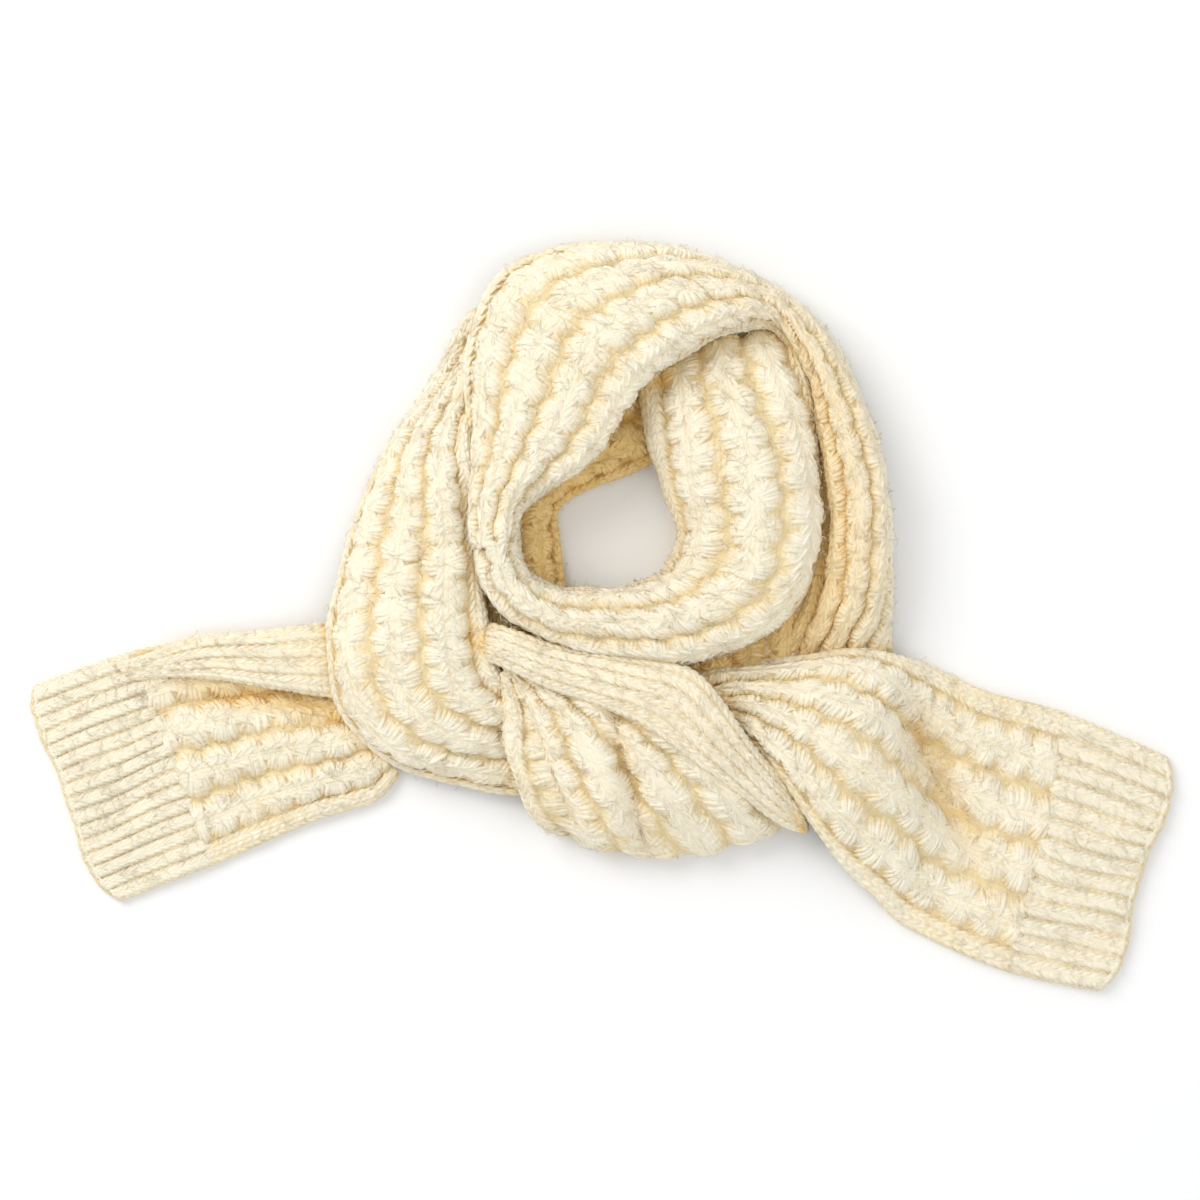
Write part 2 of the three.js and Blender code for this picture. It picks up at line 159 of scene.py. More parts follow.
runs["inside"] = [
    (-77, -12, 16, -44, -12, 12, 4),
    (-76, 12, 17, -25, 15, 5, 6),
    (-75, 40, 18, -27, 37, 4, 8),
    (-73, 65, 18, -29, 61, 4, 8),
    (-62, 93, 18, -24, 74, 4, 8),
    (-37, 124, 18, 0, 86, 4, 8),
    (-6, 149, 16, 34, 100, 4, 5),
    (31, 168, 9, 60, 118, 4, 3),
]
runs["underLoop"] = [
    (131, 18, 14.5, 52, 18, 17, 2),
    (130, -10, 14.5, 52, -10, 17.5, 2),
    (128, -34, 14.5, 54, -34, 18, 2),
    (126, -58, 12, 54, -58, 15, 2),
]


# A stretch of cloth is a grid of points, by distance along its run and share of its width.
# This gives smooth sections between those of the table.
def blendRows(table, place):
    last = len(table) - 1
    i = np.clip(np.floor(place).astype(int), 0, last - 1)
    u = (place - i)[:, None]
    a, b = table[i], table[i + 1]
    before, after = table[np.maximum(i - 1, 0)], table[np.minimum(i + 2, last)]
    slopeA, slopeB = (b - before) / 2, (after - a) / 2
    bend = 3 * (b - a) - 2 * slopeA - slopeB
    return a + u * (slopeA + u * (bend + u * (slopeA + slopeB - 2 * (b - a))))


def profilePoints(sections, angles):
    share = (1 - np.cos(angles)) / 2
    left = sections[:, None, 0:3]
    chord = sections[:, None, 3:6] - left
    rise, skew, bow = sections[:, 6:7], sections[:, 9:10], sections[:, 10:11]
    points = left + chord * (share + skew * share * (1 - share))[..., None]
    points[..., 2] += rise * np.sin(angles)
    points[..., 1] -= 4 * bow * share * (1 - share)
    return points


# A run's sections, and its length at each of some places along them
def measureRun(run):
    table = np.array([[*row, *[0] * (11 - len(row))] for row in runs[run]], float)
    perRow = 12
    places = np.arange((len(table) - 1) * perRow + 1) / perRow
    rows = blendRows(table, places)
    middle = (rows[:, 0:3] + rows[:, 3:6]) / 2
    steps = np.linalg.norm(np.diff(middle, axis=0), axis=1)
    return table, places, np.concatenate([[0], np.cumsum(steps)])


def lengthAt(run, place):
    return float(np.interp(place, *measureRun(run)[1:]))


def unit(v):
    return v / np.maximum(np.linalg.norm(v, axis=-1, keepdims=True), 1e-9)


cuffEnd = {"fade": 28, "scallop": 0.8, "corner": 7, "cornerShare": 0.055}


# The open end of a cuff: its ribs end in a soft scallop, and its corners are round
def shapeEnd(cloth, openEnd, ribCount):
    points, share = cloth["points"], cloth["shares"]
    way = -1 if openEnd == "start" else 1
    rows = cloth["first"] + np.arange(len(points)) * knit["gridStep"]
    fade = np.clip(1 - way * (cloth[openEnd] - rows) / cuffEnd["fade"], 0, 1) ** 1.6
    reach = cuffEnd["scallop"] * (np.abs(np.sin(math.pi * ribCount * share)) ** 0.8 - 0.6)
    reach += 0.8 * np.sin(9 * share + 0.7) + 0.6 * np.sin(24 * share + 2)
    for corner in (share, 1 - share):
        reach -= cuffEnd["corner"] * np.exp(-(corner / cuffEnd["cornerShare"]) ** 2)
    forward = unit(np.gradient(points, axis=0)) * way
    cloth["points"] = points + forward * (fade[:, None] * reach)[..., None]


def layCloth(plan):
    table, places, lengths = measureRun(plan["run"])
    start, end = plan.get("start", 0), min(plan.get("end", lengths[-1]), lengths[-1])
    margin, step = knit["margin"], knit["gridStep"]
    firstSlope = places[1] / lengths[1]
    lastSlope = (places[-1] - places[-2]) / (lengths[-1] - lengths[-2])
    places = np.concatenate([[-margin * firstSlope], places, [places[-1] + margin * lastSlope]])
    lengths = np.concatenate([[-margin], lengths, [lengths[-1] + margin]])
    distances = np.arange(start - margin, end + margin + step, step)
    sections = blendRows(table, np.interp(distances, lengths, places))
    angleFrom = -np.radians(sections[:, 7:8])
    turn = math.pi + np.radians(sections[:, 8:9]) - angleFrom
    fine = np.linspace(0, 1, 97)
    steps = np.diff(profilePoints(sections, angleFrom + turn * fine), axis=1)
    measured = np.cumsum(np.linalg.norm(steps, axis=2), axis=1)
    measured = np.concatenate([np.zeros((len(sections), 1)), measured], axis=1)
    shares = np.linspace(0, 1, knit["gridAcross"] + 1)
    even = np.array([np.interp(shares * m[-1], m, fine) for m in measured])
    cloth = {
        "points": profilePoints(sections, angleFrom + turn * even), "shares": shares,
        "first": distances[0], "start": start, "end": end,
        "width": measured[:, -1].mean(), "shade": np.zeros(even.shape),
    }
    if "openEnd" in plan:
        shapeEnd(cloth, plan["openEnd"], plan["courses"])
    findNormals(cloth)
    for crease in plan.get("creases", ()):
        pressCrease(cloth, **crease)
    findNormals(cloth)
    return cloth


def findNormals(cloth):
    forward, across = np.gradient(cloth["points"], axis=(0, 1))
    cloth["normals"] = unit(np.cross(across, forward))


# A soft trough (or ridge, depth above 0) along a line on the top of the cloth
def pressCrease(cloth, start, end, width, depth, shade=0):
    points = cloth["points"]
    a, b = np.array(start, float), np.array(end, float)
    line = b - a
    share = np.clip(((points[..., :2] - a) @ line) / (line @ line), 0, 1)
    off = np.linalg.norm(points[..., :2] - (a + share[..., None] * line), axis=-1)
    ends = np.sin(np.pi * np.clip(share * 0.9 + 0.05, 0, 1)) ** 0.6
    amount = np.exp(-(off / width) ** 2) * ends
    facing = np.clip(cloth["normals"][..., 2:3] * 1.6, 0, 1)
    cloth["points"] = points + cloth["normals"] * depth * amount[..., None] * facing
    # painted shade: shade lowers the openness along the trough, which tints the colour toward the
    # shade colour
    cloth["shade"] += shade * amount * facing[..., 0]


def sampleGrid(cloth, grid, distance, share):
    rows, columns = grid.shape[:2]
    i = np.clip((distance - cloth["first"]) / knit["gridStep"], 0, rows - 1.001)
    j = np.clip(share * (columns - 1), 0, columns - 1.001)
    i0, j0 = np.floor(i).astype(int), np.floor(j).astype(int)
    u, v = (i - i0)[..., None], (j - j0)[..., None]
    low = grid[i0, j0] * (1 - v) + grid[i0, j0 + 1] * v
    high = grid[i0 + 1, j0] * (1 - v) + grid[i0 + 1, j0 + 1] * v
    return low * (1 - u) + high * u


# Knitting is never quite straight: stitches wander a little, more in the middle than at an edge
def wander(distance, share):
    middle = np.sin(math.pi * np.clip(share, 0, 1))
    drift = 1.5 * np.sin(distance / 29 + 7 * share) + 0.8 * np.sin(distance / 12.4 - 11 * share + 1)
    sway = 0.012 * np.sin(distance / 36 + 2) + 0.006 * np.sin(distance / 10.7 + 9 * share)
    return distance + drift, share + sway * middle


def onCloth(cloth, distance, share, height):
    distance, share = wander(distance, share)
    point = sampleGrid(cloth, cloth["points"], distance, share)
    normal = unit(sampleGrid(cloth, cloth["normals"], distance, share))
    return point + normal * np.asarray(height)[..., None], normal


# Where the stars lie: whole columns across and whole stars along. edges are the shares of the
# width that each selvedge takes.
def starPlan(cloth, columns, edges):
    margin = knit["starMargin"]
    start, end = cloth["start"] + margin, cloth["end"] - margin
    count = max(1, round((end - start) / knit["starPitch"]))
    return {
        "start": start, "end": end, "count": count, "pitch": (end - start) / count,
        "columns": columns, "edges": edges, "half": (1 - sum(edges)) / columns / 2,
    }


# Share of the full relief at a place in a star: along in pitches from its eye, out in half columns
def starDome(along, out):
    reach = 1.07 - 0.27 * np.abs(2 * along) ** 1.7
    dome = np.clip(1 - (np.abs(out) / reach) ** 2.3, 0, 1) ** 0.8
    notch = 0.8 * np.clip(np.abs(2 * along), 0, 1) ** 5 * np.clip(np.abs(out) * 1.9 - 0.3, 0, 1)
    dip = 0.12 * np.exp(-(out / 0.16) ** 2)
    return dome * (1 - notch - dip)


def starRelief(plan, distance, share):
    left, right = plan["edges"]
    across = (share - left) / (2 * plan["half"])
    column = np.clip(np.floor(across), 0, plan["columns"] - 1)
    out = 2 * (across - column) - 1
    along = (distance - plan["start"]) / plan["pitch"] - 0.5 - 0.5 * (column % 2)
    own = starDome(along - np.round(along), out)
    beside = along - 0.5
    there = column + np.sign(out)
    other = starDome(beside - np.round(beside), 2 - np.abs(out))
    other = np.where((there >= 0) & (there < plan["columns"]), other, 0)
    roll = np.where(share < 0.5, share / left, (1 - share) / right)
    broad = np.where(share < 0.5, left, right) > 0.1
    rolled = np.clip(np.sin(math.pi * np.clip(roll, 0, 1)), 0, 1) ** 0.65
    rolled = np.where(broad, 0.3 + 1.0 * rolled, 0.42 + 0.3 * rolled)
    relief = np.where(np.abs(out) <= 1.02, np.maximum(own, other), rolled - 0.3 * (roll > 0.93))
    uneven = 1 + 0.14 * np.sin(distance / 17 + 5 * share)
    uneven += 0.1 * np.sin(distance / 7.3 - 13 * share)
    return knit["furrow"] + knit["columnRelief"] * np.maximum(relief, 0) * uneven


# Rows of knitting that run along the strip, as in ribs and selvedges
def courseRelief(courses, base, height, power, uneven, along, across):
    def relief(distance, share):
        dome = np.abs(np.sin(math.pi * courses * share)) ** power
        return base + height * dome * (1 + uneven * np.sin(distance / along + across * share))
    return relief


ribs = {"base": 0.4, "height": 2.3, "power": 0.55, "uneven": 0.25, "along": 15, "across": 23}
plain = {"base": 0.5, "height": 1.1, "power": 0.6, "uneven": 0.15, "along": 14, "across": 9}


# The relief sinks to the furrow in a soft round at an end that shows
def roundEnds(cloth, relief, ends):
    def rounded(distance, share):
        full = relief(distance, share)
        low = knit["furrow"] + 0.2
        for there, away in zip(ends, (distance - cloth["start"], cloth["end"] - distance)):
            if there:
                into = np.clip(away / knit["endRound"], 0, 1)
                full = low + (full - low) * np.sqrt(1 - (1 - into) ** 2)
        return full
    return rounded


skyView = {"rays": 28, "clear": 3.5, "far": 130, "deepest": 0.6}


# How open each place of the cloth is to the sky, for the warm shade between the turns
def findOpenness(cloths):
    vertices, faces, offset = [], [], 0
    for cloth in cloths:
        grid = cloth["points"][::2, ::3]
        rows, width = grid.shape[:2]
        vertices.append(grid.reshape(-1, 3))
        faces.append(gridFaces(np.arange(rows * width).reshape(rows, width) + offset))
        offset += rows * width
    tree = BVHTree.FromPolygons(np.concatenate(vertices).tolist(), np.concatenate(faces).tolist())
    order = np.arange(skyView["rays"]) + 0.5
    slope = np.sqrt(1 - order / skyView["rays"])  # even over the sky, weighted to straight up
    turn = order * math.pi * (3 - math.sqrt(5))
    flat = np.sqrt(1 - slope ** 2)
    sky = np.stack([flat * np.cos(turn), flat * np.sin(turn), slope], 1)
    for cloth in cloths:
        rows, width = cloth["points"].shape[:2]
        places, columns = np.arange(0, rows, 2), np.arange(0, width, 3)
        seen = np.empty((len(places), len(columns)))
        for i, place in enumerate(places):
            for j, column in enumerate(columns):
                normal = cloth["normals"][place, column]
                start = Vector(cloth["points"][place, column] + normal * skyView["clear"])
                facing = sky[sky @ normal > 0.05]
                hits = [tree.ray_cast(start, Vector(way), skyView["far"])[0] for way in facing]
                seen[i, j] = hits.count(None) / max(1, len(facing))
        full = np.array([np.interp(np.arange(width), columns, line) for line in seen])
        full = np.array([np.interp(np.arange(rows), places, line) for line in full.T]).T
        for _ in range(2):
            full[1:-1] = (full[:-2] + 2 * full[1:-1] + full[2:]) / 4
            full[:, 1:-1] = (full[:, :-2] + 2 * full[:, 1:-1] + full[:, 2:]) / 4
        cloth["openness"] = (full * (1 - np.minimum(cloth["shade"], skyView["deepest"])))[..., None]


def quads(a, b, c, d):
    return np.stack([a.ravel(), b.ravel(), c.ravel(), d.ravel()], 1)


def gridFaces(index):
    return quads(index[:-1, :-1], index[:-1, 1:], index[1:, 1:], index[1:, :-1])


# What the materials read: lift, tone and openness at each point, and the place along the yarn
def layOut(mesh, attributes, loopUv):
    for key, values in attributes.items():
        layer = mesh.attributes.new(key, "FLOAT", "POINT")
        layer.data.foreach_set("value", np.asarray(values, np.float32).ravel())
    layer = mesh.uv_layers.new(name="alongYarn")
    layer.data.foreach_set("uv", np.asarray(loopUv, np.float32).ravel())


def addObject(name, data):
    made = bpy.data.objects.new(name, data)
    bpy.context.scene.collection.objects.link(made)
    return made


# A piece from arrays, smooth apart from its last faces, the walls
def makeMesh(name, vertices, faces, attributes, loopUv, walls=0):
    mesh = bpy.data.meshes.new(name)
    vertices = np.asarray(vertices, np.float32) * mm
    sizes = [f.shape[1] for f in faces for _ in range(len(f))]
    corners = np.concatenate([f.ravel() for f in faces]).astype(np.int32)
    starts = np.concatenate([[0], np.cumsum(sizes)[:-1]]).astype(np.int32)
    smooth = np.ones(len(starts), bool)
    smooth[len(starts) - walls:] = False
    mesh.vertices.add(len(vertices))
    mesh.vertices.foreach_set("co", vertices.ravel())
    mesh.loops.add(len(corners))
    mesh.loops.foreach_set("vertex_index", corners)
    mesh.polygons.add(len(starts))
    mesh.polygons.foreach_set("loop_start", starts)
    mesh.polygons.foreach_set("use_smooth", smooth)
    layOut(mesh, attributes, loopUv)
    mesh.update(calc_edges=True)
    mesh.validate()
    return addObject(name, mesh)


# The ground of a stretch: a closed shell with the relief on its outer face
def clothShell(name, cloth, relief, across, lies):
    start, end = cloth["start"] + knit["seam"] / 2, cloth["end"] - knit["seam"] / 2
    along = max(6, round((end - start) / knit["meshStep"]))
    distance, share = np.meshgrid(
        np.linspace(start, end, along + 1), np.linspace(0, 1, across + 1), indexing="ij"
    )
    puff = relief(distance, share)
    top, normal = onCloth(cloth, distance, share, puff)
    under = top - normal * (knit["wall"] + puff)[..., None]
    top[..., 2] = np.maximum(top[..., 2], 0.9)
    if lies:
        under[..., 2] = np.where(under[..., 2] < 4, 0.15, under[..., 2])
    under[..., 2] = np.maximum(under[..., 2], 0.15)
    size = distance.size
    index = np.arange(size).reshape(distance.shape)
    faces = [gridFaces(index), gridFaces(index + size)[:, [0, 3, 2, 1]]]
    for rim in (index[0, ::-1], index[-1], index[:, 0], index[::-1, -1]):
        faces.append(quads(rim[:-1], rim[1:], rim[1:] + size, rim[:-1] + size))
    openness = sampleGrid(cloth, cloth["openness"], distance, share)
    attributes = {
        "lift": np.concatenate([liftOf(cloth, puff).ravel(), np.full(size, 0.6)]),
        "tone": np.full(2 * size, 0.5),
        "openness": np.concatenate([openness.ravel(), np.full(size, 0.9)]),
    }
    place = np.stack([distance, share * cloth["width"]], -1).reshape(-1, 2)
    laid = np.concatenate([place[f.ravel() % size] for f in faces])
    vertices = np.concatenate([top.reshape(-1, 3), under.reshape(-1, 3)])
    return makeMesh(name, vertices, faces, attributes, laid, sum(len(f) for f in faces[2:]))


# From 0 in a furrow to 1 on a crown; the materials paint warm shade where it is low
def liftOf(cloth, height):
    return np.clip((height - knit["furrow"]) / cloth["crown"], 0, 1)


# One strand of yarn, modelled once: a round bar cut into lengths
def strandTemplate(sides, cuts):
    bpy.ops.object.select_all(action="DESELECT")
    bpy.ops.mesh.primitive_cylinder_add(
        vertices=sides, radius=1, depth=1, end_fill_type="NGON", location=(0, 0, 0.5)
    )
    strand = bpy.context.active_object
    bpy.ops.object.transform_apply(location=True, rotation=False, scale=False)
    bpy.ops.object.mode_set(mode="EDIT")
    for height in cuts:
        bpy.ops.mesh.select_all(action="SELECT")
        bpy.ops.mesh.bisect(plane_co=(0, 0, height), plane_no=(0, 0, 1))
    bpy.ops.object.mode_set(mode="OBJECT")
    mesh = strand.data
    co = np.array([v.co for v in mesh.vertices])
    layer = mesh.uv_layers.active.data
    faces, uvs = {}, {}
    for p in mesh.polygons:
        corners = [(co[mesh.loops[k].vertex_index][2], layer[k].uv[0]) for k in p.loop_indices]
        faces.setdefault(p.loop_total, []).append(list(p.vertices))
        uvs.setdefault(p.loop_total, []).append(corners)
    sizes = sorted(faces)
    places = np.array([0.0, *cuts, 1.0])
    bpy.data.objects.remove(strand)
    return {
        "co": co, "places": places, "arch": np.sin(math.pi * places),
        "faces": [np.array(faces[n]) for n in sizes], "uvs": [np.array(uvs[n]) for n in sizes],
    }


petal = strandTemplate(5, (0.12, 0.45, 0.8))
stitch = strandTemplate(4, (0.15, 0.5, 0.85))
fibre = strandTemplate(3, (0.5,))


# The line that a copy of a strand follows: a value at each cut of the strand
def strandLine(distance, share, height, radius):
    return np.stack(np.broadcast_arrays(distance, share, height, radius), -1)


def setOn(strands, relief):
    strands[..., 2] += relief(strands[..., 0], strands[..., 1])
    return strands


# Copies of a strand, each bent along its own line over the cloth
def bendStrands(template, cloth, strands, rng):
    distance, share, height, radius = (strands[..., k] for k in range(4))
    centre, normal = onCloth(cloth, distance, share, height)
    tangent = unit(np.gradient(centre, axis=1))
    side = unit(np.cross(tangent, normal))
    up = np.cross(side, tangent)
    co = template["co"]
    ring = np.searchsorted(template["places"], co[:, 2] - 1e-4)
    x, y = co[:, 0], co[:, 1]
    r = radius[:, ring]
    vertices = centre[:, ring] + side[:, ring] * (r * x)[..., None]
    vertices += up[:, ring] * (r * y * 0.9)[..., None]
    vertices[..., 2] = np.maximum(vertices[..., 2], knit["lowest"])
    count, size = len(strands), len(co)
    offset = (np.arange(count) * size)[:, None, None]
    faces = [(f[None] + offset).reshape(-1, f.shape[1]) for f in template["faces"]]
    length = np.linalg.norm(np.diff(centre, axis=1), axis=2).sum(1)
    shift = rng.uniform(0, 50, (count, 1, 1, 2))
    laid = []
    for pattern in template["uvs"]:
        uv = np.broadcast_to(pattern[None], (count, *pattern.shape)).copy()
        uv[..., 0] *= length[:, None, None]
        uv[..., 1] *= 2 * math.pi * 1.3
        laid.append((uv + shift).reshape(-1, 2))
    openness = sampleGrid(cloth, cloth["openness"], distance, share)[..., 0][:, ring]
    # painted shade: the lift falls on the underside of each strand, so its lower flank takes the
    # furrow shade
    lift = liftOf(cloth, height[:, ring]) * (0.52 + 0.48 * y)
    tone = np.broadcast_to(rng.uniform(0, 1, (count, 1)), lift.shape)
    return vertices.reshape(-1, 3), faces, np.concatenate(laid), {
        "lift": lift.ravel(), "tone": tone.ravel(), "openness": openness.ravel(),
    }


# Bundles of strands joined into one piece of yarn
def joinYarn(name, bundles):
    faces, offset = [], 0
    for points, sides, laid, values in bundles:
        faces += [f + offset for f in sides]
        offset += len(points)
    vertices, laid = (np.concatenate([bundle[k] for bundle in bundles]) for k in (0, 2))
    attributes = {
        key: np.concatenate([bundle[3][key] for bundle in bundles]) for key in bundles[0][3]
    }
    return makeMesh(name, vertices, faces, attributes, laid)


# Loose fibres that stand off the yarn; perArea is to a square millimetre
fuzz = {"perArea": 0.034, "reach": (2.5, 5.5), "bend": 1.2, "thick": (0.12, 0.2, 0.1)}


def fuzzStrands(cloth, relief, rng):
    length = cloth["end"] - cloth["start"]
    step = np.array([-1, 0, 1])
    strands = []
    for _ in range(round(length * cloth["width"] * fuzz["perArea"])):
        heading = rng.uniform(0, 2 * math.pi)
        reach = rng.uniform(*fuzz["reach"]) * step
        aside = rng.normal(0, fuzz["bend"]) * (step == 0)
        distance = cloth["start"] + rng.uniform(0.5, length - 0.5)
        share = rng.uniform(-0.01, 1.01)
        off = reach * math.sin(heading) + aside * math.cos(heading)
        strands.append(strandLine(
            distance + reach * math.cos(heading) - aside * math.sin(heading),
            share + off / cloth["width"],
            (0.2, 1.2 + abs(rng.normal(0, 1.5)), 0.6 + abs(rng.normal(0, 0.9))),
            np.array(fuzz["thick"]) * rng.uniform(0.75, 1.25),
        ))
    strands = np.array(strands)
    strands[..., 0] = np.clip(strands[..., 0], cloth["start"] - 1.5, cloth["end"] + 1.5)
    return setOn(strands, relief)


# A star: strands fan out from its eye to both sides, and meet the next column's in the furrow
star = {
    "petals": 8,  # strands in each half
    "tipSpread": 9.8,  # half the width of a fan at its tips
    "rootSpread": 5.2,
    "slant": -2.4,  # tips lie back from the eye
    "root": 0.06,  # how near the middle a strand starts, in half columns
    "reach": 1.01,
    "scallop": 0.16,  # outer strands of a fan are shorter
    "thick": (0.9, 1.2, 1.6, 1.6, 1),  # at each cut
    "sunk": -0.85,
    "chain": 3,  # small stitches down the middle, to each star
    "chainReach": 0.36,
    "chainThick": (0.8, 1.3, 1.6, 1.3, 0.7),
}


def starStrands(plan, relief, rng):
    places, arch = petal["places"], petal["arch"]
    small, smallArch = stitch["places"], stitch["arch"]
    thick, chainThick = np.array(star["thick"]), np.array(star["chainThick"])
    half, pitch = plan["half"], plan["pitch"]
    link = pitch / star["chain"]
    petals, chain = [], []
    for column in range(plan["columns"]):
        middle = plan["edges"][0] + (2 * column + 1) * half
        for cell in range(-1, plan["count"] + 1):
            eye = plan["start"] + (cell + 0.5 + 0.5 * (column % 2)) * pitch
            if not plan["start"] - 2 <= eye <= plan["end"] + 2:
                continue
            slant = star["slant"] + rng.normal(0, 0.8)
            fullness = rng.normal(0, 0.25)
            for side in (-1, 1):
                for k in range(star["petals"]):
                    turn = 2 * k / (star["petals"] - 1) - 1
                    root = turn * star["rootSpread"] + 0.8 + rng.normal(0, 0.35)
                    tip = turn * star["tipSpread"] + slant + rng.normal(0, 0.6)
                    reach = star["reach"] - star["scallop"] * turn * turn + rng.normal(0, 0.04)
                    run = root + (tip - root) * places ** 1.2 + rng.normal(0, 0.5) * arch
                    out = star["root"] + (reach - star["root"]) * places
                    height = star["sunk"] + rng.normal(0, 0.22) - 0.9 * (places > 0.95)
                    height += (0.3 + fullness) * arch - 0.5 * (places < 0.05)
                    petals.append(strandLine(
                        eye + run * pitch / knit["starPitch"], middle + side * half * out,
                        height, thick * rng.normal(1, 0.1),
                    ))
            for step in range(star["chain"]):
                for side in (-1, 1):
                    out = star["chainReach"] * small ** 0.9 + 0.07 + rng.normal(0, 0.025)
                    chain.append(strandLine(
                        eye + (step - 1.4) * link + small * link * 1.5, middle + side * half * out,
                        0.35 * smallArch - 0.75 - 0.6 * (small > 0.95),
                        chainThick * rng.normal(1, 0.07),
                    ))
    petals, chain = np.array(petals), np.array(chain)
    for strands in (petals, chain):
        strands[..., 0] = np.clip(strands[..., 0], plan["start"] - 1, plan["end"] + 1)
        setOn(strands, relief)
    return petals, chain


# Whole rows of about the given pitch over a stretch
def evenRows(cloth, pitch):
    start, end = cloth["start"] + 0.5, cloth["end"] - 0.5
    count = max(2, round((end - start) / pitch))
    return start, end, count, (end - start) / count


# Stitches in a V, for a rib, a selvedge or plain knitting. centre and half are shares of the width.
def vStitches(cloth, centre, half, pitch, thick, rng, lean=0.66, sink=-0.9):
    start, end, count, pitch = evenRows(cloth, pitch)
    places = stitch["places"]
    profile = thick * np.array((0.5, 0.85, 1, 0.85, 0.5))
    height = sink + 0.35 * stitch["arch"] - 0.6 * (places > 0.95)
    strands = []
    for row in range(count):
        for side in (-1, 1):
            along = start + (row - 0.1 + 1.45 * places) * pitch + rng.normal(0, 0.2)
            out = 0.12 + lean * places ** 0.85 + rng.normal(0, 0.03)
            strands.append(strandLine(
                np.clip(along, start - 1, end + 1), centre + side * half * out,
                height, profile * rng.normal(1, 0.06),
            ))
    return strands


bothEdges = ((0, 1), (1, -1))  # the share of the width, and the way inward


# Loops round the open side of an edge
def edgeLoops(cloth, share, inward, pitch, rng):
    start, end, count, pitch = evenRows(cloth, pitch)
    places, arch = stitch["places"], stitch["arch"]
    return [strandLine(
        np.clip(start + (row - 0.2 + 1.4 * places) * pitch, start - 1, end + 1),
        share + inward * 0.012 * (1.4 - arch), 0.1 * arch + rng.normal(0, 0.15),
        2.2 * (0.6 + 0.4 * arch) * rng.normal(1, 0.06),
    ) for row in range(count)]


# The stitches lie on the relief, and the loops keep their own height
def joinStrands(stitches, loops, relief):
    return np.concatenate([setOn(np.array(stitches), relief), np.array(loops)])


def edgeStrands(cloth, relief, edges, rng):
    loops, stitches = [], []
    for (share, inward), edge in zip(bothEdges, edges):
        loops += edgeLoops(cloth, share, inward, knit["edgePitch"], rng)
        courses = 2 if edge < 0.1 else 3
        for course in range(courses):
            place = share + inward * edge * (course + 0.5) / courses
            half = edge / courses * 0.6
            stitches += vStitches(cloth, place, half, knit["edgePitch"], 1.75, rng)
    return joinStrands(stitches, loops, relief)


# The last row of a cuff: a cord of loops laid along its open end
def castEdge(cloth, openEnd, ribCount, relief, rng):
    places, arch = stitch["places"], stitch["arch"]
    way = -1 if openEnd == "start" else 1
    loops = 3 * ribCount
    strands = []
    for inset, drop, thick in ((0.4, -2.2, 1.9), (2.4, -0.9, 1.7)):
        for loop in range(loops):
            back = inset + 0.7 * (places - 0.5)
            distance = cloth[openEnd] - way * back + rng.normal(0, 0.15)
            share = (loop - 0.3 + 1.6 * places) / loops
            height = relief(distance, share) + drop + 0.5 * arch
            strands.append(strandLine(distance, share, height, thick * (0.7 + 0.3 * arch)))
    return strands


# Rows of stitches along the strip: the ribs of a cuff, which has an open end, or plain knitting
def courseStrands(cloth, courses, relief, rng, openEnd=None):
    pitch, thick, lean, sink = knit["edgePitch"], 1.8, 0.66, -0.9
    if openEnd:
        thick = 0.175 * cloth["width"] / courses
        pitch, lean, sink = knit["ribPitch"], 0.6, -0.57 * thick
    stitches, loops = [], []
    for course in range(courses):
        centre, half = (course + 0.5) / courses, 0.5 / courses
        stitches += vStitches(cloth, centre, half, pitch, thick, rng, lean, sink)
    if openEnd:
        loops += castEdge(cloth, openEnd, courses, relief, rng)
    for share, inward in bothEdges:
        loops += edgeLoops(cloth, share, inward, pitch, rng)
    return joinStrands(stitches, loops, relief)


# A shader node with its settings and inputs, each a value or the socket that feeds it
def addNode(tree, kind, inputs=None, **settings):
    node = tree.nodes.new("ShaderNode" + kind)
    for key, value in settings.items():
        setattr(node, key, value)
    for key, value in (inputs or {}).items():
        if isinstance(value, bpy.types.NodeSocket):
            tree.links.new(value, node.inputs[key])
        else:
            node.inputs[key].default_value = value
    return node.outputs


def maths(tree, operation, *values):
    return addNode(tree, "Math", dict(enumerate(values)), operation=operation)[0]


def mixFloat(tree, share, a, b):
    return addNode(tree, "Mix", {0: share, 2: a, 3: b}, data_type="FLOAT")[0]


def mixColour(tree, share, a, b, blend="MIX"):
    return addNode(tree, "Mix", {0: share, 6: a, 7: b}, data_type="RGBA", blend_type=blend)[2]


def mapRange(tree, value, low, high, toLow=0, toHigh=1, kind="SMOOTHSTEP"):
    inputs = {"Value": value, "From Min": low, "From Max": high, "To Min": toLow, "To Max": toHigh}
    return addNode(tree, "MapRange", inputs, interpolation_type=kind)[0]


def noise(tree, place, scale, detail=3, roughness=0.5):
    inputs = {"Vector": place, "Scale": scale, "Detail": detail, "Roughness": roughness}
    return addNode(tree, "TexNoise", inputs)[0]


def shaderGroup(name, inputs, outputs):
    group = bpy.data.node_groups.new(name, "ShaderNodeTree")
    for way, sockets in (("INPUT", inputs), ("OUTPUT", outputs)):
        for label, kind, *value in sockets:
            kind = "NodeSocket" + kind
            socket = group.interface.new_socket(name=label, in_out=way, socket_type=kind)
            if value:
                socket.default_value = value[0]
    nodes = group.nodes
    return group, nodes.new("NodeGroupInput").outputs, nodes.new("NodeGroupOutput").inputs


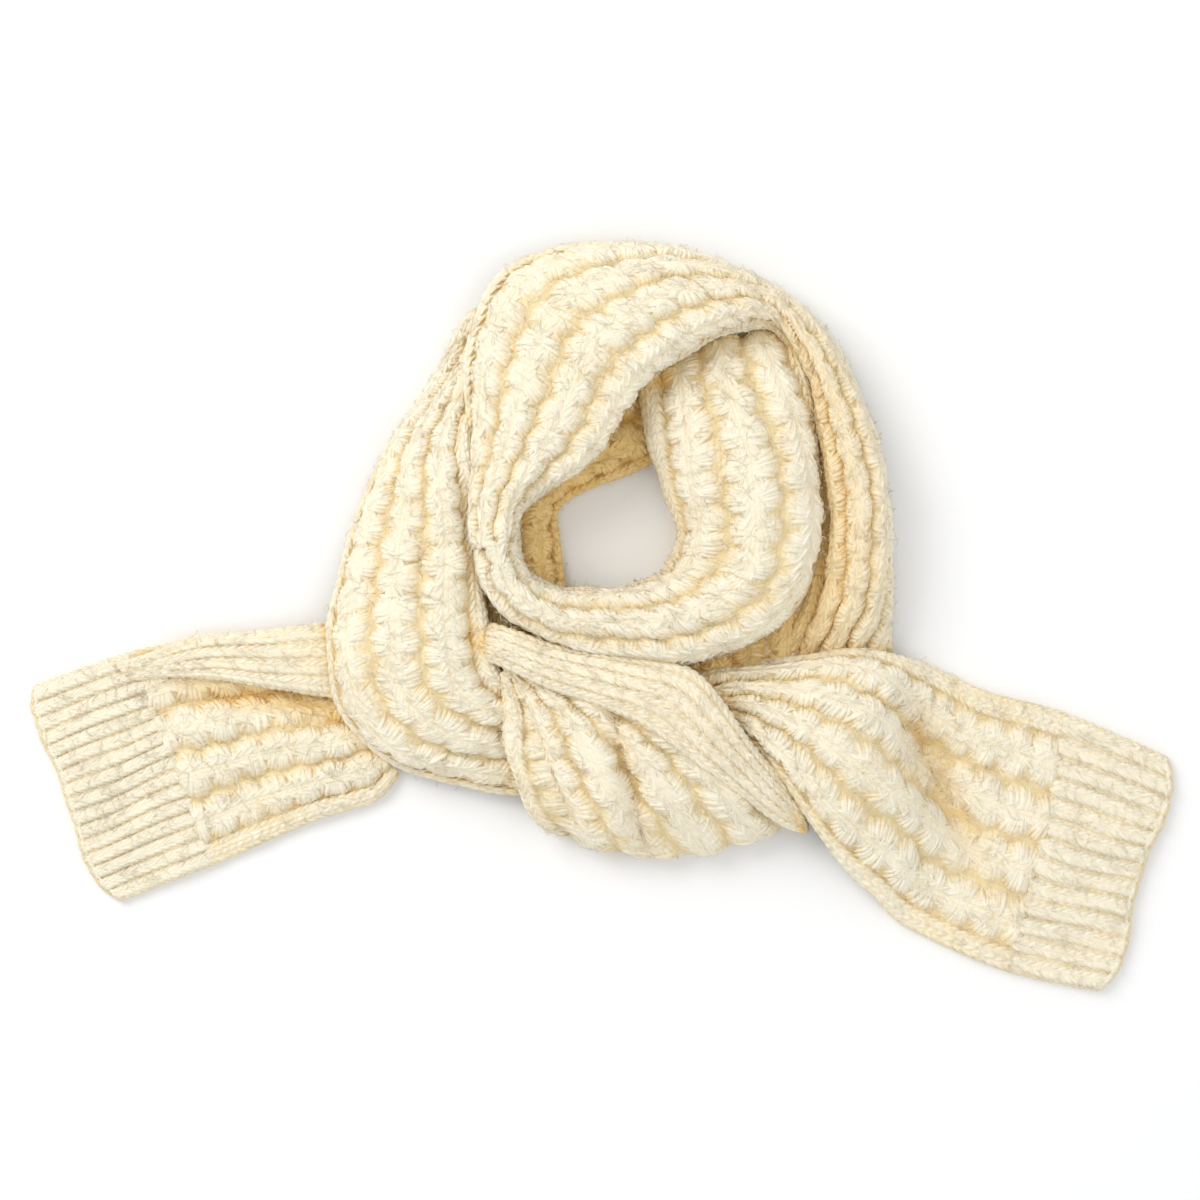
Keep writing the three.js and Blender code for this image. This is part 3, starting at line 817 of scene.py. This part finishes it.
# Fine fibres that run with the yarn, its twist, and a little fuzz: a height from 0 to 1
def fibreGroup():
    group, given, made = shaderGroup(
        "yarnFibres",
        (("Along", "Vector"), ("Place", "Vector"), ("Twist", "Float", 0.4)),
        (("Height", "Float"), ("Streaks", "Float")),
    )
    stretched = addNode(group, "Mapping", {"Vector": given["Along"], "Scale": (0.22, 1.9, 1)})[0]
    streaks = noise(group, stretched, 1.6, 3, 0.62)
    twist = addNode(
        group, "TexWave", {"Vector": given["Along"], "Scale": 0.16, "Distortion": 1.5},
        wave_type="BANDS", bands_direction="DIAGONAL",
    )[1]
    specks = noise(group, given["Place"], 520, 4, 0.62)
    twisted = mixFloat(group, given["Twist"], streaks, twist)
    group.links.new(mixFloat(group, 0.55, twisted, specks), made["Height"])
    group.links.new(mixFloat(group, 0.5, streaks, specks), made["Streaks"])
    return group


# Plain knitting in small V stitches, for the ground under the yarn: 1 on a stitch, 0 in a hole
def stitchGroup():
    group, given, made = shaderGroup(
        "plainStitches",
        (("Along", "Vector"), ("Row", "Float", 4.2), ("Wale", "Float", 4.6)),
        (("Height", "Float"),),
    )
    apart = addNode(group, "SeparateXYZ", {0: given["Along"]})
    rows = maths(group, "DIVIDE", apart[0], given["Row"])
    wales = maths(group, "DIVIDE", apart[1], given["Wale"])
    lean = maths(group, "MULTIPLY_ADD", maths(group, "PINGPONG", wales, 0.5), 1.3, rows)
    wave = maths(group, "SINE", maths(group, "MULTIPLY", lean, math.pi))
    soft = maths(group, "POWER", maths(group, "ABSOLUTE", wave), 0.5)
    legs = mapRange(group, maths(group, "PINGPONG", wales, 0.25), 0, 0.16)
    group.links.new(maths(group, "MULTIPLY", soft, legs), made["Height"])
    return group


# Cream on the crowns, with painted warm shade deeper down in the furrows and painted shade where
# the cloth is closed off from the sky, and soft patches of tone
def creamGroup():
    white = (1, 1, 1, 1)
    group, given, made = shaderGroup(
        "woolCream",
        (("Crown", "Color", white), ("Furrow", "Color", white), ("Lift", "Float", 0.5),
         ("Openness", "Float", 1), ("Shade", "Color", white), ("Tone", "Float", 0.5),
         ("Streaks", "Float", 0.5), ("Speckle", "Float", 0.5), ("Place", "Vector")),
        (("Color", "Color"),),
    )
    specks = maths(group, "SUBTRACT", noise(group, given["Place"], 300), 0.5)
    uneven = maths(group, "MULTIPLY_ADD", specks, given["Speckle"], given["Lift"])
    # painted shade: the warm furrow colour takes over as the lift falls
    furrowShaded = mixColour(group, mapRange(group, uneven, 0, 0.56), given["Furrow"], given["Crown"])
    tone = maths(group, "ADD", noise(group, given["Place"], 38), given["Tone"])
    total = maths(group, "ADD", tone, given["Streaks"])
    bright = mapRange(group, total, 0.6, 2.2, 0.9, 1.06, "LINEAR")
    colour = mixColour(group, 1, furrowShaded, bright, "MULTIPLY")
    # painted shade: the less open to the sky, the nearer the colour comes to the shade colour
    sky = mapRange(group, given["Openness"], 0.26, 1)
    skyShade = mixColour(group, sky, given["Shade"], white)
    group.links.new(mixColour(group, 1, colour, skyShade, "MULTIPLY"), made["Color"])
    return group


yarnFibres, plainStitches, woolCream = fibreGroup(), stitchGroup(), creamGroup()

wool = {
    "surface": {
        "Roughness": 0.92, "Specular IOR Level": 0.2, "Sheen Weight": 0.22,
        "Sheen Roughness": 0.6, "Sheen Tint": (1, 0.93, 0.76, 1),
    },
    "shade": (0.97, 0.765, 0.4, 1),  # between the turns
    "speckle": 0.9,
    "twist": 0.15,
    "bump": 0.8,
    "bumpDepth": 0.0007,
}


def newMaterial(name, surface):
    material = bpy.data.materials.new(name)
    material.use_nodes = True
    shader = material.node_tree.nodes["Principled BSDF"]
    for key, value in surface.items():
        shader.inputs[key].default_value = value
    return material, shader


def woolMaterial(name, crown, furrow, knitted=0):
    material, shader = newMaterial(name, wool["surface"])
    tree = material.node_tree
    place = addNode(tree, "TexCoord")["Object"]
    along = addNode(tree, "UVMap", uv_map="alongYarn")[0]
    lift, tone, openness = (
        addNode(tree, "Attribute", attribute_name=key)["Fac"]
        for key in ("lift", "tone", "openness")
    )
    inputs = {"Along": along, "Place": place, "Twist": wool["twist"]}
    fibres = addNode(tree, "Group", inputs, node_tree=yarnFibres)
    height = fibres["Height"]
    if knitted:
        rows = addNode(tree, "Group", {"Along": along}, node_tree=plainStitches)["Height"]
        height = maths(tree, "MULTIPLY_ADD", rows, knitted, height)
        # painted shade: the holes between the stitches get a lower lift, so they take the furrow
        # shade
        lift = maths(tree, "MULTIPLY", lift, mapRange(tree, rows, 0, 1, 0.45, 1, "LINEAR"))
    inputs = {
        "Crown": (*crown, 1), "Furrow": (*furrow, 1), "Lift": lift, "Openness": openness,
        "Shade": wool["shade"], "Tone": tone, "Streaks": fibres["Streaks"],
        "Speckle": wool["speckle"], "Place": place,
    }
    colour = addNode(tree, "Group", inputs, node_tree=woolCream)[0]
    inputs = {"Strength": wool["bump"], "Distance": wool["bumpDepth"], "Height": height}
    tree.links.new(addNode(tree, "Bump", inputs)[0], shader.inputs["Normal"])
    tree.links.new(colour, shader.inputs["Base Color"])
    return material


# Each wool: its crown colour, and its furrow colour, which is the painted warm shade deep in the
# furrows
creamYarn = woolMaterial("creamYarn", (0.925, 0.86, 0.695), (0.87, 0.725, 0.45))
groundCloth = woolMaterial("groundCloth", (0.92, 0.845, 0.66), (0.83, 0.67, 0.38), 0.5)


# The stretches that show. flat is the cut of what shows, in metres, and sky dims the light that
# reaches the left and the right edge.
cuffStart = lengthAt("crossing", 20) - knit["cuffLength"]
stretches = {
    "leftCuff": {
        "node": "left_cuff", "run": "leftEnd", "end": lengthAt("leftEnd", 1) + 2, "lies": True,
        "courses": 16, "openEnd": "start", "roundEnds": (1, 1), "seed": 11,
        "flat": (0.142, 0.068), "held": "laid", "slot": "ribbed_ends",
    },
    "leftTail": {
        "node": "left_tail", "run": "leftEnd", "start": lengthAt("leftEnd", 1) - 3,
        "lies": True, "columns": 4, "roundEnds": (1, 0), "seed": 12,
        "flat": (0.124, 0.13), "held": "laid",
        "creases": [
            {"start": (-264, -43), "end": (-136, -57), "width": 12, "depth": -6.5, "shade": 0.5},
            {"start": (-250, -66), "end": (-140, -76), "width": 12, "depth": 2},
        ],
    },
    "leftTailFold": {
        "node": "left_tail_fold", "run": "leftFold", "courses": 4, "seed": 13,
        "flat": (0.038, 0.125), "held": "folded", "restsOn": ["left_tail"],
    },
    "neckRing": {
        "node": "neck_ring", "run": "loop", "end": lengthAt("loop", 12), "columns": 3, "seed": 14,
        "edges": (0.1, 0.15),
        "flat": (0.115, 0.4), "held": "gathered", "restsOn": ["hidden_layers"],
    },
    "upperBand": {
        "node": "upper_band", "run": "loop", "start": lengthAt("loop", 12),
        "end": lengthAt("loop", 20), "columns": 4, "seed": 15, "edges": (0.06, 0.15),
        "flat": (0.12, 0.24), "held": "gathered", "restsOn": ["hidden_layers"],
    },
    "rightBand": {
        "node": "right_band", "run": "loop", "start": lengthAt("loop", 20), "columns": 4,
        "lies": True, "seed": 16, "sky": (1, 0.5), "skyFrom": 80, "edges": (0.06, 0.15),
        "flat": (0.09, 0.28), "held": "gathered", "restsOn": ["hidden_layers"],
    },
    "leftBand": {
        "node": "left_band", "run": "crossing", "end": lengthAt("crossing", 10), "columns": 3,
        "edges": (0.13, 0.07), "seed": 17,
        "flat": (0.1, 0.27), "held": "gathered", "restsOn": ["hidden_layers"],
    },
    "rightTail": {
        "node": "right_tail", "run": "crossing", "start": lengthAt("crossing", 10),
        "end": cuffStart + 3, "columns": 4, "lies": True,
        "roundEnds": (0, 1), "seed": 18,
        "flat": (0.12, 0.28), "held": "laid", "restsOn": ["hidden_layers"],
        "creases": [
            {"start": (190, -54), "end": (230, -150), "width": 12, "depth": -14, "shade": 0.25},
            {"start": (146, -56), "end": (197, -146), "width": 18, "depth": 14},
        ],
    },
    "rightCuff": {
        "node": "right_cuff", "run": "crossing", "start": cuffStart - 2, "lies": True,
        "courses": 13, "openEnd": "end", "roundEnds": (1, 1), "seed": 19,
        "flat": (0.15, 0.068), "held": "laid", "slot": "ribbed_ends",
    },
    "knotWrap": {
        "node": "knot_wrap", "run": "knot", "columns": 4, "seed": 20,
        "flat": (0.14, 0.12), "held": "gathered", "restsOn": ["left_band", "right_tail"],
        "creases": [
            {"start": (4, -48), "end": (28, -146), "width": 7, "depth": -9, "shade": 0.25},
            {"start": (-8, -48), "end": (14, -140), "width": 9, "depth": 6},
            {"start": (-62, -38), "end": (-30, -130), "width": 9, "depth": 6},
            {"start": (-50, -42), "end": (-14, -138), "width": 7, "depth": -6, "shade": 0.2},
        ],
    },
    "knotEdge": {
        "node": "knot_edge", "run": "knotRim", "courses": 5, "seed": 21,
        "flat": (0.035, 0.22), "held": "folded", "restsOn": ["knot_wrap"],
    },
    "underLoop": {
        "node": "hidden_layers", "run": "underLoop", "columns": 3, "seed": 23, "sky": (0.6, 0.6),
        "flat": (0.079, 0.076), "held": "gathered", "slot": "inner_turns",
    },
    "innerBand": {
        "node": "inner_band", "run": "inside", "columns": 2, "lies": True, "seed": 22,
        "sky": (0.5, 0.5), "flat": (0.055, 0.22), "held": "laid", "slot": "inner_turns",
    },
}


# Painted shade: the openness, which tints the colour, is dimmed from the left to the right edge,
# and faded in from skyFrom along the run
def dimSky(cloth, plan):
    left, right = plan.get("sky", (1, 1))
    dimmed = (left + (right - left) * cloth["shares"])[:, None]
    if "skyFrom" in plan:
        into = np.arange(len(cloth["points"])) * knit["gridStep"] / plan["skyFrom"]
        dimmed = 1 + (dimmed - 1) * np.clip(into, 0, 1)[:, None, None]
    cloth["openness"] = cloth["openness"] * dimmed


def buildStretch(name, plan, cloth):
    rng = np.random.default_rng(plan["seed"])
    dimSky(cloth, plan)
    ends = plan.get("roundEnds", (0, 0))
    bundles = []
    if "courses" in plan:
        courses, openEnd = plan["courses"], plan.get("openEnd")
        cloth["crown"] = knit["courseCrown"]
        relief = roundEnds(cloth, courseRelief(courses, **(ribs if openEnd else plain)), ends)
        across = 6 * courses
        stitches = courseStrands(cloth, courses, relief, rng, openEnd)
    else:
        cloth["crown"] = knit["starCrown"]
        edges = plan.get("edges", (knit["edgeShare"],) * 2)
        stars = starPlan(cloth, plan["columns"], edges)
        relief = roundEnds(cloth, lambda distance, share: starRelief(stars, distance, share), ends)
        across = 14 * plan["columns"] + 10
        petals, chain = starStrands(stars, relief, rng)
        bundles.append(bendStrands(petal, cloth, petals, rng))
        stitches = np.concatenate([chain, edgeStrands(cloth, relief, edges, rng)])
    bundles.append(bendStrands(stitch, cloth, stitches, rng))
    bundles.append(bendStrands(fibre, cloth, fuzzStrands(cloth, relief, rng), rng))
    shell = clothShell(name, cloth, relief, across, plan.get("lies", False))
    shell.data.materials.append(groundCloth)
    yarn = joinYarn(name + "Yarn", bundles)
    yarn.data.materials.append(creamYarn)
    for piece in (shell, yarn):
        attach(piece, "root")
    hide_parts(plan["node"])
    print(name, "made:", len(yarn.data.polygons), "faces of yarn")


# The hidden turns, seen only in the gaps: their packed form with rows of plain knitting pressed in
hidden = {
    "voxel": 3.0, "rowPitch": 6.5, "stitch": 5.5, "depth": 0.9,
    "middle": (45, 60), "ring": 95, "openFrom": 75, "openOver": 45,
}


def readPoints(mesh, key):
    values = np.empty(len(mesh.vertices) * 3, np.float32)
    mesh.vertices.foreach_get(key, values)
    return values.reshape(-1, 3)


def buildHidden():
    bpy.ops.object.select_all(action="DESELECT")
    piece = addObject("hiddenTurns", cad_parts["hidden_layers"].data.copy())
    piece.data.name = "hiddenTurns"
    piece.data.materials.clear()
    bpy.context.view_layer.objects.active = piece
    piece.select_set(True)
    bpy.ops.object.mode_set(mode="EDIT")
    bpy.ops.mesh.select_all(action="SELECT")
    bpy.ops.mesh.remove_doubles(threshold=0.00005)
    bpy.ops.object.mode_set(mode="OBJECT")
    remesh = piece.modifiers.new("even", "REMESH")
    remesh.mode = "VOXEL"
    remesh.voxel_size = hidden["voxel"] * mm
    bpy.ops.object.modifier_apply(modifier=remesh.name)
    bpy.ops.object.shade_smooth()
    mesh = piece.data
    co, normals = readPoints(mesh, "co"), readPoints(mesh, "normal")
    x, y, z = co.T / mm
    x, y = x - hidden["middle"][0], y - hidden["middle"][1]
    out, along = np.hypot(x, y), np.arctan2(y, x) * hidden["ring"]
    rows = np.abs((out + z) / hidden["stitch"] % 1 - 0.5)
    wave = np.abs(np.sin(math.pi * (along / hidden["rowPitch"] + 1.3 * rows)))
    press = hidden["depth"] * (wave * np.minimum(1, rows * 5) - 0.9)
    press *= np.clip(z - 1, 0, 1)
    co += normals * (press * mm)[:, None]
    mesh.vertices.foreach_set("co", co.ravel())
    mesh.update()
    # painted shade: the openness is lower towards the middle of the ring, and the pressed-in rows
    # take the furrow shade through their lift
    free = 0.5 + 0.45 * np.clip((out - hidden["openFrom"]) / hidden["openOver"], 0, 1)
    corners = np.empty(len(mesh.loops), np.int32)
    mesh.loops.foreach_get("vertex_index", corners)
    attributes = {"lift": 0.5 + 0.4 * wave, "tone": np.full(len(co), 0.5), "openness": free}
    layOut(mesh, attributes, np.stack([along, out + z], 1)[corners])
    mesh.materials.append(groundCloth)
    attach(piece, "root")
    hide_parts("hidden_layers")
    print("hiddenTurns made:", len(co), "points")


# Floor, light and camera. A light has its name, place, size, power and colour.
stage = {
    "floorSize": 9,
    "floor": {"Base Color": (0.9, 0.9, 0.895, 1), "Roughness": 0.9},
    "skyColour": (0.97, 0.98, 1, 1),
    "skyPower": 0.82,
    "lights": (
        ("keyLight", (-1.5, 1.3, 1.9), 1.5, 36, (1, 0.975, 0.94)),
        ("fillLight", (1.8, -1.2, 2.2), 2.4, 12, (0.95, 0.97, 1)),
    ),
}


def buildStage():
    bpy.ops.object.select_all(action="DESELECT")
    bpy.ops.mesh.primitive_plane_add(size=stage["floorSize"], location=(0, 0, -0.0002))
    floor = bpy.context.active_object
    floor.name = "floor"
    bpy.ops.object.transform_apply(location=True, rotation=False, scale=False)
    floor.data.materials.append(newMaterial("paleFloor", stage["floor"])[0])
    world = bpy.data.worlds.new("studio")
    world.use_nodes = True
    sky = world.node_tree.nodes["Background"].inputs
    sky[0].default_value = stage["skyColour"]
    sky[1].default_value = stage["skyPower"]
    bpy.context.scene.world = world
    for name, place, size, power, colour in stage["lights"]:
        light = bpy.data.lights.new(name, "AREA")
        light.size = size
        light.energy = power
        light.color = colour
        lamp = addObject(name, light)
        lamp.location = place
        lamp.rotation_mode = "QUATERNION"
        lamp.rotation_quaternion = (-lamp.location).to_track_quat("-Z", "Y")


# side and middle in the photo's own points
photo = {"side": 1200, "mmPerPixel": 0.62, "middle": (601, 620), "cameraHeight": 2.5, "sensor": 36}


def buildCamera():
    camera = bpy.data.cameras.new("camera")
    sight = addObject("camera", camera)
    centre = photo["side"] / 2
    scale = photo["mmPerPixel"] * mm
    x, y = photo["middle"]
    sight.location = ((centre - x) * scale, (y - centre) * scale, photo["cameraHeight"])
    camera.sensor_width = photo["sensor"]
    camera.lens = photo["sensor"] * photo["cameraHeight"] / (photo["side"] * scale)
    camera.clip_end = 20
    bpy.context.scene.camera = sight


buildStage()
buildCamera()
bpy.context.scene.view_settings.view_transform = "Standard"
print("floor, lights and camera set")
cloths = {name: layCloth(plan) for name, plan in stretches.items()}
findOpenness(list(cloths.values()))
print("cloth laid")
for name, plan in stretches.items():
    buildStretch(name, plan, cloths[name])
buildHidden()
